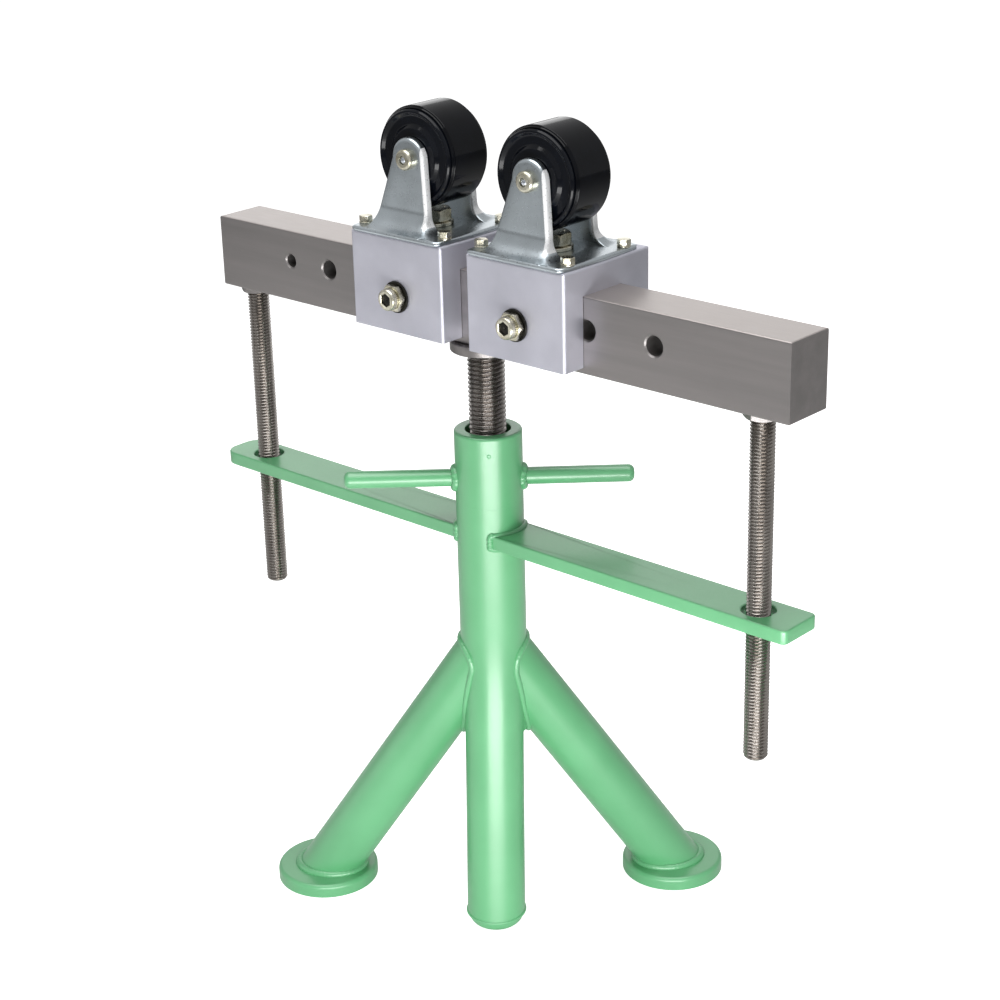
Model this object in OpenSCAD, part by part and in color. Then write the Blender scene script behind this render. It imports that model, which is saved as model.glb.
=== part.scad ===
// Roller stand: a three-legged mast that carries a height-adjustable beam with two clamped
// saddle blocks, each with a rigid wheel on top. All lengths are in millimetres.
// The beam runs along X, the wheel axles along Y, and the floor is z = 0.

/* [Mast] */
// Outside diameter of the mast and of the drive tube above it
mast_d = 46.5; // [44:0.5:56]
// Bore of the mast and of the drive tube
mast_bore = 31; // [30:0.5:34]
// Length of the mast tube
mast_len = 173.5; // [165:0.1:200]
// Height of the mast's top end above the floor
mast_top = 311.7; // [295:0.1:340]
// Diameter of the seat that is cut in the mast's top end for the thrust washer
seat_d = 40; // [36:0.5:43]
// Depth of that seat
seat_depth = 2; // [1.5:0.1:4]
// Bore of the thrust washer
washer_bore = 31.5; // [31:0.1:34]

/* [Legs and feet] */
// Outside diameter of the leg tubes
leg_d = 41.3; // [34:0.1:44]
// Wall of the leg tubes
leg_wall = 3.3; // [2:0.1:5]
// Height at which the axes of all three legs meet the mast's axis
leg_join = 205; // [195:1:225]
// Distance of the two foot discs from the mast's axis
foot_reach = 133; // [120:1:160]
// Distance of the front foot from the mast's axis
front_reach = 40; // [36:1:55]
// Direction of the right leg, in degrees from +X
right_turn = 56; // [50:1:66]
// Direction of the left leg
left_turn = 208; // [198:1:214]
// Direction of the front leg
front_turn = -52; // [-60:1:-40]
// Diameter of a foot disc
disc_d = 74; // [66:1:90]
// Thickness of a foot disc
disc_t = 9.5; // [6:0.5:14]
// Rounding of a foot disc's top edge
disc_round = 3; // [1:0.5:4]
// Height of the domed plug under the front leg
plug_h = 9; // [6:0.5:14]
// Width of the ledge where the leg tube oversails the plug
plug_ledge = 0.7; // [0.3:0.1:2]
// Diameter of the plug's flat on the floor
plug_flat = 24; // [16:1:30]

/* [Guide arms] */
// Distance from a guide rod's axis out to the arm's end
arm_margin = 32; // [26:0.5:38]
// Width of the flat bar
arm_w = 35; // [30:0.5:42]
// Thickness of the flat bar
arm_t = 9.5; // [6:0.5:14]
// Distance from the mast's top end down to the arms' top face
arm_drop = 18.7; // [15:0.1:30]
// Distance from the beam's left end in to the left guide rod
rod_inset = 14; // [12:0.5:34]
// Diameter of the hole that a guide rod runs through
arm_hole = 22; // [18:0.5:26]
// Corner rounding of the left arm's end
left_corner = 12; // [2:1:16]
// Corner rounding of the right arm's end
right_corner = 4; // [2:1:16]

/* [Drive tube] */
// Length of the drive tube
drive_len = 51; // [45:0.5:60]
// Gap between the mast's top end and the drive tube
joint_gap = 0.3; // [0.3:0.05:0.6]
// Length of the drive nut inside the drive tube
nut_len = 43; // [36:0.5:44]
// Length of the nut's pilot, which turns in the top of the mast
pilot_len = 22; // [16:0.5:26]
// Radial running clearance of the pilot and of the screw
run_gap = 0.05; // [0.03:0.01:0.08]
// Diameter of the pin that locks the nut in the tube
pin_d = 3; // [2:0.5:4]
// Distance from the pin down from the drive tube's top end
pin_drop = 12.4; // [10:0.1:16]
// Rounding of the drive tube's top edge
rim_round = 2; // [0.5:0.1:3]
// Direction of the pin, in degrees from +X
pin_turn = -47; // [-60:1:-30]
// Diameter of the two handle rods
handle_d = 12; // [10:0.5:14]
// Distance from the mast's axis to a handle's tip
handle_reach = 99; // [85:1:130]
// Height of the handles above the drive tube's bottom end
handle_lift = 15.6; // [12:0.1:22]
// Direction of the first handle
handle_turn = 42.6; // [30:0.1:60]
// Rounding of a handle's tip
handle_round = 4; // [2:0.5:4.5]
// Width of the weld bead round a handle's root
bead = 3.5; // [2:0.5:5]

/* [Beam and screw] */
// Length of the beam
beam_len = 496; // [480:1:520]
// Depth of the beam, front to back
beam_w = 38; // [34:0.5:44]
// Height of the beam
beam_h = 50.8; // [46:0.1:60]
// Distance that the beam's middle lies to the right of the mast
beam_shift = 9; // [0:0.5:12]
// Edge rounding of the beam
beam_round = 1.2; // [0.5:0.1:3]
// Diameter of the lead screw
screw_d = 25.4; // [22:0.1:27]
// Length of the lead screw
screw_len = 251.4; // [240:0.1:260]
// Depth to which the screw goes into the beam
screw_depth = 20; // [15:0.5:24]
// Chamfer at the free ends of the screw and the guide rods
end_chamfer = 1.5; // [0.5:0.1:3]
// Diameter of the collar round the screw under the beam
collar_d = 48; // [40:0.5:56]
// Thickness of that collar
collar_t = 7; // [5:0.5:10]
// Height of the collar above the drive tube, as photographed
rest_gap = 56.4; // [40:0.1:70]
// Diameter of a guide rod
rod_d = 15.9; // [14:0.1:17]
// Length of a guide rod
rod_len = 256.4; // [245:0.1:262]
// Depth to which a guide rod goes into the beam
rod_depth = 20; // [15:0.5:24]
// Width across flats of the lock nut on a guide rod
lock_nut_af = 22; // [20:0.5:26]
// Height of that lock nut
lock_nut_h = 6.5; // [4:0.5:10]

/* [Beam holes] */
// Height of the cross holes and the clamp screws above the beam's middle
hole_lift = 3.7; // [0:0.1:8]
// Diameter of the three larger cross holes
hole_d = 13; // [8:0.5:16]
// Diameter of the smaller cross hole
small_hole_d = 9; // [6:0.5:12]
// Place of the smaller hole along the beam, from the mast's axis
small_hole_x = -166.4; // [-180:0.1:-160]
// Place of the left larger hole
left_hole_x = -128; // [-140:0.5:-120]
// Place of the middle larger hole
middle_hole_x = 103.5; // [98:0.5:112]
// Place of the right larger hole
right_hole_x = 156.4; // [145:0.1:170]
// Chamfer at the mouths of the cross holes
hole_chamfer = 1; // [0.3:0.1:2]

/* [Saddle blocks] */
// Length of a saddle block along the beam
block_len = 82; // [76:1:96]
// Gap between the two blocks as photographed
block_gap = 22; // [16:1:40]
// Distance that the gap's middle lies to the right of the mast
block_shift = 8; // [0:0.5:12]
// Thickness of the block's front wall
front_wall = 18.2; // [14:0.1:24]
// Thickness of the block's back wall
back_wall = 28.2; // [18:0.1:32]
// Thickness of the block above the beam
roof_t = 18.2; // [15:0.1:26]
// Side clearance between the beam and a block
slide_gap = 0.3; // [0.3:0.05:0.6]
// Height of the block's lower face above the beam's lower face
skirt_lift = 4; // [0.5:0.1:6]
// Edge rounding of a block
block_round = 2; // [0.8:0.1:3]

/* [Clamp screws] */
// Thread diameter of a clamp screw
clamp_d = 10; // [8:0.5:12]
// Distance from a clamp screw's tip to the beam when it is photographed
clamp_tip_gap = 0.3; // [0.3:0.05:0.6]
// Diameter of a clamp screw's head
clamp_head_d = 15; // [13:0.5:20]
// Height of a clamp screw's head
clamp_head_h = 5.5; // [4.5:0.5:12]
// Width across flats of the head's socket
clamp_socket = 8; // [6:0.5:9]
// Width across flats of the jam nut
jam_af = 17; // [15:0.5:19]
// Height of the jam nut
jam_h = 4; // [3:0.5:8]
// Diameter of the washer behind the jam nut
jam_washer_d = 21.5; // [20:0.5:26]
// Thickness of that washer
jam_washer_t = 1.5; // [1:0.1:3]

/* [Wheels] */
// Height of the wheel's axle above the block
axle_lift = 50; // [46:0.5:56]
// Distance that a wheel lies to the right of its block's middle
axle_shift = 2; // [0:0.5:4]
// Diameter of the tread
tread_d = 67.2; // [60:0.2:72]
// Width of the tread
tread_w = 32.4; // [28:0.2:36]
// Diameter of the wheel core
core_d = 62.6; // [56:0.2:64]
// Width of the wheel core at its rim
core_w = 38; // [36:0.2:40]
// Width of the wheel core at its hub
hub_w = 43; // [41:0.2:44]
// Diameter of the hub boss
hub_d = 22; // [20:0.5:22]
// Diameter of the raised disc round the hub
web_d = 40; // [36:0.5:44]
// Depth of the hollow between the raised disc and the rim
web_dip = 2; // [1:0.1:4]
// Outside diameter of the axle bushing
bushing_d = 14; // [12:0.5:16]
// Diameter of the axle bolt
axle_d = 9.5; // [8:0.5:11]
// Diameter of the axle bolt's round head
axle_head_d = 14; // [12:0.5:18]
// Height of that head
axle_head_h = 4.5; // [3:0.5:6]
// Diameter of the hollow in the middle of the head
axle_hollow_d = 5.6; // [4:0.2:8]
// Width across flats of the axle nut
axle_nut_af = 16; // [14:0.5:19]
// Height of the axle nut
axle_nut_h = 8; // [6:0.5:10]

/* [Forks] */
// Thickness of the fork's sheet
sheet = 2.6; // [2:0.1:3.5]
// Distance between the inner faces of the fork's legs
fork_gap = 45; // [45:0.5:48]
// Depth by which a leg's turned edge reaches in behind the leg's inner face
flange = 3; // [2:0.1:3.2]
// Radius of a leg's rounded top about the axle
top_round = 14; // [12:0.5:17]
// Reach of a leg's foot to the left of the axle
foot_left = 32.8; // [28:0.1:33]
// Reach of a leg's foot to the right of the axle
foot_right = 27; // [20:0.5:30]
// Width by which the right foot flares at the base plate
flare = 11; // [4:0.5:12]
// Radius of the sweep from the leg's face to the base plate's edge
sweep = 13.5; // [8:0.1:13.8]
// Length of the base plate along the beam
plate_len = 81; // [79:0.5:81.5]
// Width of the base plate, front to back
plate_w = 78; // [74:0.5:79]
// Thickness of the base plate
plate_t = 3; // [2:0.1:4]
// Corner rounding of the base plate
plate_round = 5; // [2:0.5:8]
// Distance of the plate bolts from the plate's middle, along the beam
bolt_x = 36; // [35.7:0.1:36.2]
// Distance of the plate bolts from the plate's middle, front to back
bolt_y = 27.5; // [24:0.5:29]
// Thread diameter of a plate bolt
bolt_d = 5; // [4:0.5:6]
// Width across flats of a plate bolt's head
bolt_af = 8; // [7:0.5:8.5]
// Height of a plate bolt's head
bolt_h = 4; // [3:0.5:6]
// Depth to which the bolts and the centre stud go into the block
bolt_depth = 12; // [8:0.5:14]
// Diameter of a plate bolt's washer
bolt_washer_d = 9; // [8.6:0.1:9.4]
// Thickness of that washer
bolt_washer_t = 1.2; // [0.8:0.1:2]
// Thread diameter of the centre stud under the wheel
stud_d = 12; // [10:0.5:14]
// Width across flats of the centre nut
stud_nut_af = 19; // [17:0.5:22]
// Height of the centre nut
stud_nut_h = 8.5; // [6:0.5:9]
// Diameter of the centre washer
stud_washer_d = 24; // [22:0.5:28]
// Thickness of the centre washer
stud_washer_t = 2; // [1.5:0.1:2.5]

/* [Hidden] */
$fn = 64;
// Overrun of every cut past the face that it opens
over = 1;
// Steps in a quarter turn of an outline
steps = 8;

// Heights, from the floor up
mast_bottom = mast_top - mast_len;
arm_top = mast_top - arm_drop;
drive_bottom = mast_top + joint_gap;
drive_top = drive_bottom + drive_len;
beam_bottom = drive_top + rest_gap + collar_t;
beam_top = beam_bottom + beam_h;
hole_z = beam_bottom + beam_h / 2 + hole_lift;
screw_bottom = beam_bottom + screw_depth - screw_len;
rod_bottom = beam_bottom + rod_depth - rod_len;
block_bottom = beam_bottom + skirt_lift;
block_top = beam_top + roof_t;
plate_top = block_top + plate_t;
axle_z = block_top + axle_lift;

// Guide rods stand as far from the mast on the right as on the left
rod_reach = beam_len / 2 - beam_shift - rod_inset;
arm_reach = rod_reach + arm_margin;

// The origin is the middle of the footprint, so the mast stands a little in front of it
mast_y = -foot_reach * (sin(right_turn) + sin(left_turn)) / 2;

// Legs: each axis runs from the mast's axis to the middle of its foot
side_tilt = atan2(foot_reach, leg_join - disc_t / 2);
front_tilt = atan2(front_reach, leg_join);
leg_len = norm([foot_reach, leg_join]) + leg_d;
plug_reach = front_reach * (1 - plug_h / leg_join);

// Saddle blocks and wheels
left_x = block_shift - (block_gap + block_len) / 2;
right_x = block_shift + (block_gap + block_len) / 2;
slot_half = beam_w / 2 + slide_gap;
block_front = slot_half + front_wall;
block_back = slot_half + back_wall;
clamp_tip = beam_w / 2 + clamp_tip_gap;
clamp_seat = block_front + jam_washer_t + jam_h;
web_face = fork_gap / 2 + sheet;
head_clear = 2 * run_gap;

// Points along an arc, from angle a0 to a1, about the point c
function arc(c, r, a0, a1) =
    [for (i = [0:steps]) c + r * [cos(a0 + (a1 - a0) * i / steps), sin(a0 + (a1 - a0) * i / steps)]];

// A rectangle from lo to hi with its corners rounded, each by its own radius
function round_box(lo, hi, r) = concat(
    arc([hi.x - r[0], hi.y - r[0]], r[0], 0, 90),
    arc([lo.x + r[1], hi.y - r[1]], r[1], 90, 180),
    arc([lo.x + r[2], lo.y + r[2]], r[2], 180, 270),
    arc([hi.x - r[3], lo.y + r[3]], r[3], 270, 360));

// Turns a shape drawn flat so that its x and y become the stand's x and z, and its height -y
module upright() rotate([90, 0, 0]) children();

// Turns a shape drawn flat so that its x and y become the stand's y and z, and its height x
module sideways() rotate([90, 0, 90]) children();

// Everything is drawn about the mast's axis and then moved to the stand's place
module on_stand() translate([0, mast_y, 0]) children();

// A straight rod of diameter d that starts at the mast's axis and leans down and outwards
module leaning_rod(turn, tilt, d) {
    rotate([0, 0, turn]) translate([0, 0, leg_join]) rotate([0, 180 - tilt, 0])
        cylinder(d = d, h = leg_len);
}

module mast_body() translate([0, 0, mast_bottom]) cylinder(d = mast_d, h = mast_len);

module below(z) translate([-arm_reach, -arm_reach, z - leg_len])
    cube([2 * arm_reach, 2 * arm_reach, leg_len]);

module hex(af, h) cylinder(d = af / cos(30), h = h, $fn = 6);

// A nut or washer lying flat, with its bore
module hex_nut(af, h, bore) difference() {
    hex(af, h);
    translate([0, 0, -over]) cylinder(d = bore, h = h + 2 * over);
}

module ring(d, h, bore) difference() {
    cylinder(d = d, h = h);
    translate([0, 0, -over]) cylinder(d = bore, h = h + 2 * over);
}

// A rod that stands on its chamfered end
module chamfered_rod(d, h, c) rotate_extrude()
    polygon([[0, 0], [d / 2 - c, 0], [d / 2, c], [d / 2, h], [0, h]]);

// Mast: a plain tube, with a seat for the thrust washer in its top end
module mast_tube() color("mediumseagreen") on_stand() difference() {
    mast_body();
    translate([0, 0, mast_bottom - over]) cylinder(d = mast_bore, h = mast_len + 2 * over);
    translate([0, 0, mast_top - seat_depth]) cylinder(d = seat_d, h = seat_depth + over);
}

module thrust_washer() color("darkgoldenrod") on_stand()
    translate([0, 0, mast_top - seat_depth]) ring(seat_d, seat_depth + joint_gap, washer_bore);

// Legs: tubes coped to the mast, and the side legs to the front leg as well
module front_leg() color("mediumseagreen") on_stand() difference() {
    leaning_rod(front_turn, front_tilt, leg_d);
    leaning_rod(front_turn, front_tilt, leg_d - 2 * leg_wall);
    mast_body();
    below(plug_h);
}

module side_leg(turn) color("mediumseagreen") on_stand() difference() {
    leaning_rod(turn, side_tilt, leg_d);
    leaning_rod(turn, side_tilt, leg_d - 2 * leg_wall);
    leaning_rod(front_turn, front_tilt, leg_d);
    mast_body();
    below(disc_t);
}

module left_leg() side_leg(left_turn);
module right_leg() side_leg(right_turn);

// Front foot: a dome that closes the tube and stands flat on the floor
module front_foot_plug() color("seagreen") on_stand() rotate([0, 0, front_turn])
    translate([plug_reach, 0, 0]) rotate_extrude() polygon(concat([[0, 0]],
        [for (i = [0:steps]) [plug_flat / 2 + (leg_d / 2 - plug_ledge - plug_flat / 2)
            * sin(90 * i / steps), plug_h * (1 - cos(90 * i / steps))]],
        [[0, plug_h]]));

module foot_disc(turn) color("mediumseagreen") on_stand() rotate([0, 0, turn])
    translate([foot_reach, 0, 0]) rotate_extrude() polygon(concat([[0, 0], [disc_d / 2, 0]],
        arc([disc_d / 2 - disc_round, disc_t - disc_round], disc_round, 0, 90), [[0, disc_t]]));

module left_foot_disc() foot_disc(left_turn);
module right_foot_disc() foot_disc(right_turn);

// Guide arms: flat bars welded to the mast, with a clear hole for each guide rod
module guide_arm(corner) difference() {
    translate([0, 0, arm_top - arm_t]) linear_extrude(arm_t)
        polygon(concat([[0, -arm_w / 2]],
            arc([arm_reach - corner, corner - arm_w / 2], corner, -90, 0),
            arc([arm_reach - corner, arm_w / 2 - corner], corner, 0, 90),
            [[0, arm_w / 2]]));
    mast_body();
    translate([rod_reach, 0, arm_top - arm_t - over]) cylinder(d = arm_hole, h = arm_t + 2 * over);
}

module left_guide_arm() color("mediumseagreen") on_stand() mirror([1, 0, 0])
    guide_arm(left_corner);
module right_guide_arm() color("mediumseagreen") on_stand() guide_arm(right_corner);

// Drive tube: turns on the thrust washer and carries the nut and the two handles
module drive_body() translate([0, 0, drive_bottom]) rotate_extrude()
    polygon(concat([[0, 0], [mast_d / 2, 0]],
        arc([mast_d / 2 - rim_round, drive_len - rim_round], rim_round, 0, 90),
        [[0, drive_len]]));

module pin_hole(length) rotate([0, 0, pin_turn]) translate([0, 0, drive_top - pin_drop])
    rotate([0, 90, 0]) cylinder(d = pin_d, h = length);

module drive_tube() color("mediumseagreen") on_stand() difference() {
    drive_body();
    translate([0, 0, drive_bottom - over]) cylinder(d = mast_bore, h = drive_len + 2 * over);
    pin_hole(mast_d);
}

module drive_nut() color("darkgoldenrod") on_stand() difference() {
    union() {
        translate([0, 0, drive_bottom]) cylinder(d = mast_bore, h = nut_len);
        translate([0, 0, drive_bottom - pilot_len])
            cylinder(d = mast_bore - 2 * run_gap, h = pilot_len);
    }
    translate([0, 0, drive_bottom - pilot_len - over])
        cylinder(d = screw_d + 2 * run_gap, h = pilot_len + nut_len + 2 * over);
    pin_hole(mast_d);
}

module nut_pin() color("dimgray") on_stand() intersection() {
    pin_hole(mast_d / 2);
    difference() {
        drive_body();
        translate([0, 0, drive_bottom - over])
            cylinder(d = (mast_bore + screw_d) / 2, h = drive_len + 2 * over);
    }
}

module at_handle(turn) rotate([0, 0, turn]) translate([0, 0, drive_bottom + handle_lift])
    rotate([0, 90, 0]) children();

module handle(turn) color("mediumseagreen") on_stand() difference() {
    at_handle(turn) rotate_extrude() polygon(concat([[0, 0], [handle_d / 2, 0]],
        arc([handle_d / 2 - handle_round, handle_reach - handle_round], handle_round, 0, 90),
        [[0, handle_reach]]));
    drive_body();
}

module right_handle() handle(handle_turn);
module left_handle() handle(handle_turn + 180);

module handle_welds() color("seagreen") on_stand() difference() {
    for (turn = [handle_turn, handle_turn + 180]) at_handle(turn) rotate_extrude()
        polygon(concat([[handle_d / 2, mast_bore / 2], [handle_d / 2 + bead, mast_bore / 2]],
            arc([handle_d / 2, mast_d / 2 - bead / 4], bead, 0, 90)));
    drive_body();
}

// Beam: a solid bar with rounded edges, cross-drilled, and tapped from below
module cross_hole(x, d) translate([x, 0, hole_z]) upright() {
    translate([0, 0, -beam_w / 2 - over]) cylinder(d = d, h = beam_w + 2 * over);
    for (side = [0, 1]) mirror([0, 0, side]) translate([0, 0, beam_w / 2 - hole_chamfer])
        cylinder(d1 = d, d2 = d + 2 * (hole_chamfer + over), h = hole_chamfer + over);
}

module beam() color("silver") on_stand() difference() {
    intersection() {
        translate([beam_shift - beam_len / 2, 0, 0]) sideways() linear_extrude(beam_len)
            polygon(round_box([-beam_w / 2, beam_bottom], [beam_w / 2, beam_top],
                [beam_round, beam_round, beam_round, beam_round]));
        translate([beam_shift, beam_w / 2, 0]) upright() linear_extrude(beam_w)
            polygon(round_box([-beam_len / 2, beam_bottom], [beam_len / 2, beam_top],
                [beam_round, beam_round, beam_round, beam_round]));
    }
    cross_hole(small_hole_x, small_hole_d);
    for (x = [left_hole_x, middle_hole_x, right_hole_x]) cross_hole(x, hole_d);
    translate([0, 0, beam_bottom - over]) cylinder(d = screw_d, h = screw_depth + over);
    for (side = [-1, 1]) translate([side * rod_reach, 0, beam_bottom - over])
        cylinder(d = rod_d, h = rod_depth + over);
}

module lead_screw() color("dimgray") on_stand()
    translate([0, 0, screw_bottom]) chamfered_rod(screw_d, screw_len, end_chamfer);

module screw_collar() color("gray") on_stand()
    translate([0, 0, beam_bottom - collar_t]) ring(collar_d, collar_t, screw_d);

module guide_rod(side) color("dimgray") on_stand()
    translate([side * rod_reach, 0, rod_bottom]) chamfered_rod(rod_d, rod_len, end_chamfer);

module left_guide_rod() guide_rod(-1);
module right_guide_rod() guide_rod(1);

module rod_lock_nuts() color("gray") on_stand() for (side = [-1, 1])
    translate([side * rod_reach, 0, beam_bottom - lock_nut_h])
        hex_nut(lock_nut_af, lock_nut_h, rod_d);

// Saddle block: an inverted U that rides on the beam, with every outer edge rounded
module block_solid() intersection() {
    translate([-block_len / 2, 0, 0]) sideways() linear_extrude(block_len)
        polygon(round_box([-block_front, block_bottom], [block_back, block_top],
            [block_round, block_round, block_round / 2, block_round / 2]));
    translate([0, block_back, 0]) upright() linear_extrude(block_front + block_back)
        polygon(round_box([-block_len / 2, block_bottom], [block_len / 2, block_top],
            [block_round, block_round, block_round / 2, block_round / 2]));
    translate([0, 0, block_bottom]) linear_extrude(block_top - block_bottom)
        polygon(round_box([-block_len / 2, -block_front], [block_len / 2, block_back],
            [block_round, block_round, block_round, block_round]));
}

module at_plate_bolts() for (sx = [-1, 1], sy = [-1, 1])
    translate([sx * bolt_x, sy * bolt_y, 0]) children();

module saddle_block(x) color("lightsteelblue") on_stand() translate([x, 0, 0]) difference() {
    block_solid();
    translate([-block_len / 2 - over, -slot_half, block_bottom - over])
        cube([block_len + 2 * over, 2 * slot_half, beam_top - block_bottom + over]);
    translate([0, 0, hole_z]) upright()
        cylinder(d = clamp_d + head_clear, h = block_front + over);
    at_plate_bolts() translate([0, 0, block_top - bolt_depth])
        cylinder(d = bolt_d, h = bolt_depth + over);
    translate([axle_shift, 0, block_top - bolt_depth]) cylinder(d = stud_d, h = bolt_depth + over);
}

// Clamp screw: a socket-head screw through the block's front wall, with a jam nut and a washer
module at_clamp(x, reach) translate([x, -reach, hole_z]) upright() children();

module jam_washer(x) color("khaki") on_stand()
    at_clamp(x, block_front) ring(jam_washer_d, jam_washer_t, clamp_d + head_clear);

module jam_nut(x) color("khaki") on_stand()
    at_clamp(x, block_front + jam_washer_t) rotate([0, 0, 30])
        hex_nut(jam_af, jam_h, clamp_d + head_clear);

module clamp_screw(x) color("khaki") on_stand() difference() {
    union() {
        at_clamp(x, clamp_tip) cylinder(d = clamp_d, h = clamp_seat - clamp_tip);
        at_clamp(x, clamp_seat) rotate_extrude() polygon(concat(
            [[0, 0], [clamp_head_d / 2, 0]],
            arc([clamp_head_d / 2 - end_chamfer, clamp_head_h - end_chamfer], end_chamfer, 0, 90),
            [[0, clamp_head_h]]));
    }
    at_clamp(x, clamp_seat + clamp_head_h / 2) hex(clamp_socket, clamp_head_h);
}

// Fork leg outline about the axle, drawn smaller by e at its round top and at its sides
function leg_outline(e) = let (
        h = axle_lift - plate_t,
        r = top_round - e,
        bend = [foot_right - flare - e, flare - h])
    concat(arc([0, 0], r, 0, 180),
        [[e - foot_left, -h], [foot_right - e, -h]],
        [for (i = [1:steps]) [bend.x + flare * (1 - sin(90 * i / steps)),
            bend.y - flare * cos(90 * i / steps)]]);

// Leg section, seen from the side: the outer face sweeps out to the base plate's edge, and the
// inner one stands e farther in than the leg's own
function leg_section(e) = concat([[e - fork_gap / 2, axle_lift + top_round],
        [e - fork_gap / 2, plate_t]],
    [for (i = [0:steps]) [max(-plate_w / 2, -web_face - sweep * (1 - sin(90 * i / steps))),
        plate_t + sweep * (1 - cos(90 * i / steps))]],
    [[-web_face, axle_lift + top_round]]);

module leg_slab(e) translate([-plate_len / 2, 0, 0]) sideways() linear_extrude(plate_len)
    polygon(leg_section(e));

module leg_prism(e) translate([0, 0, axle_lift]) upright() linear_extrude(plate_w / 2)
    polygon(leg_outline(e));

module fork_leg() {
    intersection() {
        leg_slab(0);
        leg_prism(0);
    }
    intersection() {
        leg_slab(flange);
        difference() {
            leg_prism(0);
            leg_prism(sheet);
        }
    }
}

// Fork: a base plate and two pressed legs with their edges turned in behind them
module fork(x) color("lightblue") on_stand() translate([x + axle_shift, 0, block_top])
    difference() {
        union() {
            translate([-axle_shift, 0, 0]) linear_extrude(plate_t)
                polygon(round_box([-plate_len / 2, -plate_w / 2], [plate_len / 2, plate_w / 2],
                    [plate_round, plate_round, plate_round, plate_round]));
            fork_leg();
            mirror([0, 1, 0]) fork_leg();
        }
        translate([0, plate_w / 2 + over, axle_lift]) upright()
            cylinder(d = axle_d, h = plate_w + 2 * over);
        translate([0, 0, -over]) cylinder(d = stud_d, h = plate_t + 2 * over);
        translate([-axle_shift, 0, -over]) at_plate_bolts()
            cylinder(d = bolt_d, h = plate_t + 2 * over);
    }

module at_plate(x, z) on_stand() translate([x, 0, z]) at_plate_bolts() children();

module plate_washers(x) color("khaki") at_plate(x, plate_top)
    ring(bolt_washer_d, bolt_washer_t, bolt_d);

module plate_bolts(x) color("khaki") {
    at_plate(x, plate_top + bolt_washer_t) hex(bolt_af, bolt_h);
    at_plate(x, block_top - bolt_depth)
        cylinder(d = bolt_d, h = bolt_depth + plate_t + bolt_washer_t);
}

module at_stud(x, z) on_stand() translate([x + axle_shift, 0, z]) children();

module centre_washer(x) color("khaki") at_stud(x, plate_top)
    ring(stud_washer_d, stud_washer_t, stud_d);

module centre_nut(x) color("khaki") at_stud(x, plate_top + stud_washer_t)
    hex_nut(stud_nut_af, stud_nut_h, stud_d);

module centre_stud(x) color("khaki") at_stud(x, block_top - bolt_depth)
    cylinder(d = stud_d, h = bolt_depth + plate_t + stud_washer_t + stud_nut_h);

// Axle: a bolt with a hollow round head in front, a bushing between the legs, a nut behind
module at_axle(x, y) on_stand() translate([x + axle_shift, y, axle_z]) upright() children();

module axle_bolt(x) color("khaki") difference() {
    union() {
        at_axle(x, web_face) cylinder(d = axle_d, h = 2 * web_face);
        at_axle(x, web_face + axle_nut_h) cylinder(d = axle_d, h = axle_nut_h);
        at_axle(x, -web_face) rotate_extrude() polygon(concat([[0, 0], [axle_head_d / 2, 0]],
            arc([axle_head_d / 2 - axle_head_h / 2, axle_head_h / 2], axle_head_h / 2, 0, 90),
            [[0, axle_head_h]]));
    }
    at_axle(x, -web_face) cylinder(d = axle_hollow_d, h = axle_head_h + over);
}

module axle_nut(x) color("khaki") at_axle(x, web_face + axle_nut_h)
    hex_nut(axle_nut_af, axle_nut_h, axle_d);

module axle_bushing(x) color("gray") at_axle(x, fork_gap / 2) ring(bushing_d, fork_gap, axle_d);

// Upper half of the wheel core's section, from its rim to its bore
CORE_EDGE = [
    [core_d / 2, core_w / 2 - web_dip / 2], [core_d / 2 - web_dip / 2, core_w / 2],
    [core_d / 2 - web_dip, core_w / 2], [core_d / 2 - 2 * web_dip, core_w / 2 - web_dip],
    [web_d / 2 + web_dip, core_w / 2 - web_dip], [web_d / 2, core_w / 2],
    [hub_d / 2, core_w / 2], [hub_d / 2 - web_dip, hub_w / 2],
    [bushing_d / 2 + run_gap, hub_w / 2]];

// Wheel: a hard core that turns on the bushing, with a wider tread pressed over its rim
module wheel_core(x) color("midnightblue") at_axle(x, 0) rotate_extrude()
    polygon(concat(CORE_EDGE,
        [for (i = [len(CORE_EDGE) - 1:-1:0]) [CORE_EDGE[i].x, -CORE_EDGE[i].y]]));

module wheel_tread(x) color("black") at_axle(x, 0) rotate_extrude() polygon(
    round_box([core_d / 2, -tread_w / 2], [tread_d / 2, tread_w / 2],
        [web_dip / 2, web_dip / 4, web_dip / 4, web_dip / 2]));

module left_saddle_block() saddle_block(left_x);
module left_jam_nut() jam_nut(left_x);
module left_jam_washer() jam_washer(left_x);
module left_clamp_screw() clamp_screw(left_x);
module left_fork() fork(left_x);
module left_plate_bolts() plate_bolts(left_x);
module left_plate_washers() plate_washers(left_x);
module left_centre_stud() centre_stud(left_x);
module left_centre_nut() centre_nut(left_x);
module left_centre_washer() centre_washer(left_x);
module left_axle_bolt() axle_bolt(left_x);
module left_axle_nut() axle_nut(left_x);
module left_axle_bushing() axle_bushing(left_x);
module left_wheel_core() wheel_core(left_x);
module left_wheel_tread() wheel_tread(left_x);
module right_saddle_block() saddle_block(right_x);
module right_jam_nut() jam_nut(right_x);
module right_jam_washer() jam_washer(right_x);
module right_clamp_screw() clamp_screw(right_x);
module right_fork() fork(right_x);
module right_plate_bolts() plate_bolts(right_x);
module right_plate_washers() plate_washers(right_x);
module right_centre_stud() centre_stud(right_x);
module right_centre_nut() centre_nut(right_x);
module right_centre_washer() centre_washer(right_x);
module right_axle_bolt() axle_bolt(right_x);
module right_axle_nut() axle_nut(right_x);
module right_axle_bushing() axle_bushing(right_x);
module right_wheel_core() wheel_core(right_x);
module right_wheel_tread() wheel_tread(right_x);

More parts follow.
